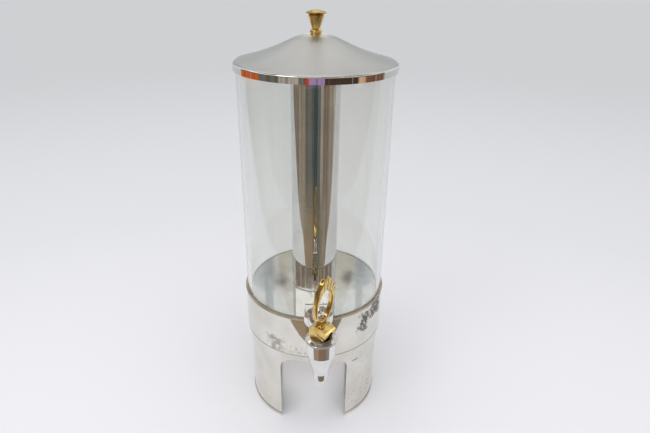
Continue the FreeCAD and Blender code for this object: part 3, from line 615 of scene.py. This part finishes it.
def dress():
    """Gives each CAD node its finish: by node where its wear is its own, else by its slot."""
    own = {
        "collar_band": base_steel("collar_steel", collar_marks),
        "pedestal_skirt": base_steel("skirt_steel", skirt_marks),
        "tank_channel": tank_steel("channel_steel", sealed_side, SEALANT),
        "tap_saddle": shadowed_nylon(),
        "tap_bonnet": plain_metal("bonnet_plate", WORN_CHROME, smooth=0.07, rough=0.14, blotch=80.0),
        "cam_washer": plain_metal("washer_steel", WASHER_STEEL, smooth=0.25, rough=0.4, blotch=120.0),
    }
    slots = {
        "polished_steel": tank_steel("tank_steel", mill_side, MILL_FINISH),
        "satin_steel": satin_steel(),
        "clear_plastic": clear_plastic(),
        "gilt_metal": gilt_metal(),
        "chrome_plate": plain_metal("chrome_plate", CHROME, smooth=0.02, rough=0.07, blotch=80.0),
        "plain_steel": plain_metal("plain_steel", PLAIN_STEEL, smooth=0.22, rough=0.36, blotch=120.0),
        "white_nylon": plastic("white_nylon", WHITE_NYLON, smooth=0.30, rough=0.45, blotch=60.0),
        "silicone": silicone(),
    }
    for subpart in frame["record"]["subparts"]:
        node = subpart["node"]
        for slot in NODES[node].material_slots:
            slot.material = own.get(node, slots[subpart["material_slot"]])


def soft_spring():
    """The tap's spring as a piece of its own: a copy of the CAD spring, hung on the dispenser body, with the
    CAD spring hidden.
    """
    node = NODES["return_spring"]
    coil = bpy.data.objects.new("spring_coil", node.data.copy())
    coil.matrix_world = node.matrix_world
    bpy.context.scene.collection.objects.link(coil)
    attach(coil, "dispenser")
    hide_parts("return_spring")
    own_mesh(coil)


def sheet(name, corners, faces, material):
    """Flat or folded sheet of the stage."""
    mesh = bpy.data.meshes.new(name)
    mesh.from_pydata(corners, [], faces)
    mesh.materials.append(material)
    piece = bpy.data.objects.new(name, mesh)
    bpy.context.scene.collection.objects.link(piece)
    return piece


def ramp(tree, socket, stops, interpolation):
    """Colour ramp from (position, colour) stops."""
    node = add(tree, "ShaderNodeValToRGB")
    node.color_ramp.interpolation = interpolation
    elements = node.color_ramp.elements
    elements[0].position, elements[0].color = stops[0]
    elements[1].position, elements[1].color = stops[-1]
    for position, colour in stops[1:-1]:
        elements.new(position).color = colour
    tree.links.new(socket, node.inputs["Fac"])
    return node.outputs["Color"]


def floor_material():
    """Pale cloth, painted lightest at the part and greyer far behind it: a painted light falloff."""
    material, tree, shader = new_material("pale_floor")
    shader.inputs["Roughness"].default_value = FLOOR_ROUGHNESS
    shader.inputs["Specular IOR Level"].default_value = FLOOR_SHEEN
    x, y = place(tree)[:2]
    far = spread(tree, distance(tree, x, calc(tree, "ADD", y, FLOOR_CENTRE)), *FLOOR_FADE)
    stops = [(0.0, FLOOR_NEAR), (FLOOR_MIDDLE_SHARE, FLOOR_MIDDLE), (1.0, FLOOR_FAR)]
    # Painted light falloff: the floor's colour darkens with distance from the part
    painted_falloff = ramp(tree, far, stops, "LINEAR")
    horizon = spread(tree, distance(tree, x, y), *HORIZON_FADE)
    tree.links.new(blend(tree, horizon, painted_falloff, SURROUND), shader.inputs["Base Color"])
    return material


def banded(tree, angle, bands, interpolation):
    """Colour by bearing."""
    turn = spread(tree, angle, -math.pi, math.pi, shape="LINEAR")
    stops = [((degrees + 180) / 360, colour) for degrees, colour in bands]
    return ramp(tree, turn, stops, interpolation)


def glowing(name, colour_of):
    """Material that shows its own colour in reflections, and is clear to a straight look."""
    material = bpy.data.materials.new(name)
    material.use_nodes = True
    tree = material.node_tree
    tree.nodes.clear()
    path = add(tree, "ShaderNodeLightPath")
    through = add(tree, "ShaderNodeBsdfTransparent")
    shine = add(tree, "ShaderNodeEmission")
    mix = add(tree, "ShaderNodeMixShader")
    output = add(tree, "ShaderNodeOutputMaterial")
    tree.links.new(colour_of(tree), shine.inputs["Color"])
    tree.links.new(calc(tree, "MINIMUM", path.outputs["Glossy Depth"], 1.0), mix.inputs["Fac"])
    tree.links.new(through.outputs["BSDF"], mix.inputs[1])
    tree.links.new(shine.outputs["Emission"], mix.inputs[2])
    tree.links.new(mix.outputs["Shader"], output.inputs["Surface"])
    return material


def streaks(tree, angle, scale, offset, start, end, strength):
    """Upright streaks by bearing, of uneven width."""
    shifted = calc(tree, "ADD", angle, offset)
    return spread(tree, line_noise(tree, shifted, scale, detail=4.0), start, end, high=strength)


def streaked(tree, angle, colour):
    """A colour with dark and pale streaks."""
    dark = streaks(tree, angle, scale=9.0, offset=5.0, start=0.52, end=0.62, strength=0.45)
    pale = streaks(tree, angle, scale=10.8, offset=20.0, start=0.60, end=0.68, strength=0.55)
    return blend(tree, pale, blend(tree, dark, colour, SOOT), PALE)


def room_floor_colour(tree):
    """Stripes by bearing, plainer near the table, and the wall's bands at its foot."""
    x, y = place(tree)[:2]
    angle = bearing(tree, x, y)
    reach = distance(tree, x, y)
    near = banded(tree, angle, NEAR_STRIPES, "LINEAR")
    far = streaked(tree, angle, banded(tree, angle, FAR_STRIPES, "CONSTANT"))
    colour = blend(tree, spread(tree, reach, *FAR_FROM), near, far)
    bands = banded(tree, angle, WALL_BANDS, "CONSTANT")
    return blend(tree, spread(tree, reach, *WALL_FOOT), colour, bands)


def room_wall_colour(tree):
    """Bright bands low down, dull above them, and streaked at the top."""
    x, y, z = place(tree)
    angle = bearing(tree, x, y)
    low = streaked(tree, angle, banded(tree, angle, WALL_BANDS, "CONSTANT"))
    light = streaks(tree, angle, scale=4.0, offset=12.0, start=0.46, end=0.60, strength=1.0)
    high = blend(tree, spread(tree, z, *UPPER_EDGE), MOSS, blend(tree, light, UMBER, PALE))
    return blend(tree, spread(tree, z, *DADO_EDGE), low, high)


def backdrop_colour(tree):
    """Blue-grey with a warm middle, paler above its edge, with two posts and two dark spots."""
    x, _, z = place(tree)
    side = calc(tree, "ABSOLUTE", calc(tree, "SUBTRACT", x, BACKDROP_CENTRE))
    wall = blend(tree, spread(tree, side, *BACKDROP_WARM_EDGE), BACKDROP_MIDDLE, BACKDROP_SIDE)
    edge = (BACKDROP_EDGE - BACKDROP_EDGE_SOFT, BACKDROP_EDGE + BACKDROP_EDGE_SOFT)
    colour = blend(tree, spread(tree, z, *edge), wall, SURROUND)
    strength = spread(tree, z, *edge, POST_LOW_STRENGTH, POST_HIGH_STRENGTH)
    post = times(tree, window(tree, side, *POST_SIDES, POST_SOFT), strength)
    colour = blend(tree, post, colour, POST_COLOUR)
    across = calc(tree, "DIVIDE", calc(tree, "SUBTRACT", side, SPOT_SIDE), SPOT_HALF_WIDTH)
    along = calc(tree, "DIVIDE", calc(tree, "SUBTRACT", z, BACKDROP_EDGE - SPOT_DROP), SPOT_HALF_HEIGHT)
    spot = spread(tree, distance(tree, across, along), *SPOT_FADE, SPOT_STRENGTH, 0.0)
    return blend(tree, spot, colour, SPOT_COLOUR)


def ceiling_colour(tree):
    """A band of light over the room, and a dark middle."""
    height = place(tree)[2]
    return blend(tree, spread(tree, height, *CEILING_EDGE), CEILING_LIGHT, CEILING_MIDDLE)


def table_reach(angle):
    """Distance from the part to the edge of its table by bearing: straight in front, flaring at the sides."""
    corner = math.radians(TABLE_CORNER)
    reach = TABLE_FRONT / math.cos(min(abs(angle), corner))
    flare = math.radians(TABLE_FLARE_LEFT if angle < 0 else TABLE_FLARE_RIGHT)
    return min(reach * math.exp((max(abs(angle) - corner, 0.0) / flare) ** 2), ROOM_RADIUS)


def for_mirrors(piece):
    """Keeps a piece of the stage from the camera's straight look, from soft light and from shadows."""
    piece.visible_camera = False
    piece.visible_diffuse = False
    piece.visible_shadow = False


def fan(inner, outer):
    """Strip of quads round the part: inner and outer give a point for a bearing in radians."""
    corners = []
    steps = range(ROOM_BEARINGS[0], ROOM_BEARINGS[1] + 1, ROOM_STEP)
    for degrees in steps:
        angle = math.radians(degrees)
        corners += [inner(angle), outer(angle)]
    faces = [(2 * index, 2 * index + 1, 2 * index + 3, 2 * index + 2) for index in range(len(steps) - 1)]
    return corners, faces


def round_about(angle, reach, height):
    """Point at a bearing, a distance from the axis and a height."""
    return (reach * math.sin(angle), -reach * math.cos(angle), height)


def build_room():
    """Floor beyond the table, a wall round it under a bright ceiling, and the backdrop behind."""
    floor = fan(lambda angle: round_about(angle, table_reach(angle), ROOM_LIFT),
                lambda angle: round_about(angle, ROOM_RADIUS, ROOM_LIFT))
    wall = fan(lambda angle: round_about(angle, ROOM_RADIUS, 0.0),
               lambda angle: round_about(angle, ROOM_RADIUS, ROOM_HEIGHT))
    ceiling = fan(lambda angle: round_about(angle, ROOM_RADIUS, ROOM_HEIGHT),
                  lambda angle: round_about(angle, CEILING_RADIUS, CEILING_HEIGHT))
    half, low, high = BACKDROP_HALF, BACKDROP_LOW, BACKDROP_HIGH
    backdrop = ([(-half, BACKDROP_PLACE, low), (half, BACKDROP_PLACE, low), (half, BACKDROP_PLACE, high),
                 (-half, BACKDROP_PLACE, high)], [(0, 1, 2, 3)])
    for_mirrors(sheet("room_floor", *floor, glowing("room_floor", room_floor_colour)))
    for_mirrors(sheet("room_wall", *wall, glowing("room_wall", room_wall_colour)))
    for_mirrors(sheet("ceiling", *ceiling, glowing("ceiling", ceiling_colour)))
    for_mirrors(sheet("backdrop", *backdrop, glowing("backdrop", backdrop_colour)))


def build_floor():
    """Wide pale floor under the part."""
    half = FLOOR_SIZE / 2
    corners = [(-half, -half, 0), (half, -half, 0), (half, half, 0), (-half, half, 0)]
    sheet("floor", corners, [(0, 1, 2, 3)], floor_material())


def build_world():
    """Pale surround, a little dimmer as a lamp than to the eye and in reflections."""
    world = bpy.data.worlds.new("surround")
    bpy.context.scene.world = world
    world.use_nodes = True
    tree = world.node_tree
    back = tree.nodes["Background"]
    back.inputs["Color"].default_value = SURROUND
    rays = add(tree, "ShaderNodeLightPath").outputs
    seen = strongest(tree, rays["Is Camera Ray"], rays["Is Glossy Ray"], rays["Is Transmission Ray"])
    tree.links.new(spread(tree, seen, 0.0, 1.0, SURROUND_AS_LAMP, 1.0), back.inputs["Strength"])


def hang(light, where, target):
    """Puts a lamp in its place, aimed at a point."""
    holder = bpy.data.objects.new(light.name, light)
    holder.location = where
    holder.rotation_euler = (Vector(target) - Vector(where)).to_track_quat("-Z", "Y").to_euler()
    bpy.context.scene.collection.objects.link(holder)
    return holder


def build_lamps():
    """A wide soft light from over the camera, a small one for highlights, and a beam into the bay."""
    wide = bpy.data.lights.new("wide", "SUN")
    wide.energy = WIDE_POWER
    wide.angle = WIDE_ANGLE
    hang(wide, WIDE_PLACE, LAMP_TARGET).visible_glossy = False
    key = bpy.data.lights.new("key", "AREA")
    key.energy = KEY_POWER
    key.size = KEY_SIZE
    hang(key, KEY_PLACE, LAMP_TARGET)
    bay = bpy.data.lights.new("bay", "SPOT")
    bay.energy = BAY_POWER
    bay.color = BAY_COLOUR
    bay.spot_size = BAY_ANGLE
    bay.spot_blend = BAY_BLEND
    bay.shadow_soft_size = BAY_SOFTNESS
    beam = hang(bay, BAY_PLACE, BAY_TARGET)
    beam.scale.x = BAY_STRETCH
    beam.visible_glossy = False


def build_camera():
    """Camera of the photograph: pitch and roll first, then heading."""
    forward = Vector((0.0, math.cos(CAMERA_PITCH), -math.sin(CAMERA_PITCH)))
    right = Vector((1.0, 0.0, 0.0))
    up = right.cross(forward)
    tilted_right = right * math.cos(CAMERA_ROLL) + up * math.sin(CAMERA_ROLL)
    tilted_up = up * math.cos(CAMERA_ROLL) - right * math.sin(CAMERA_ROLL)
    pose = Matrix((tilted_right, tilted_up, -forward)).transposed()
    turn = Matrix.Rotation(CAMERA_HEADING, 3, "Z")
    data = bpy.data.cameras.new("camera")
    data.sensor_width = SENSOR_WIDTH
    data.lens = FOCAL_PIXELS / IMAGE_WIDTH * SENSOR_WIDTH
    data.clip_end = CAMERA_REACH
    camera = bpy.data.objects.new("camera", data)
    camera.matrix_world = Matrix.Translation(CAMERA_PLACE) @ (turn @ pose).to_4x4()
    bpy.context.scene.collection.objects.link(camera)
    bpy.context.scene.camera = camera


dress()
soft_spring()
build_floor()
build_room()
build_world()
build_lamps()
build_camera()
bpy.context.scene.view_settings.view_transform = "Standard"
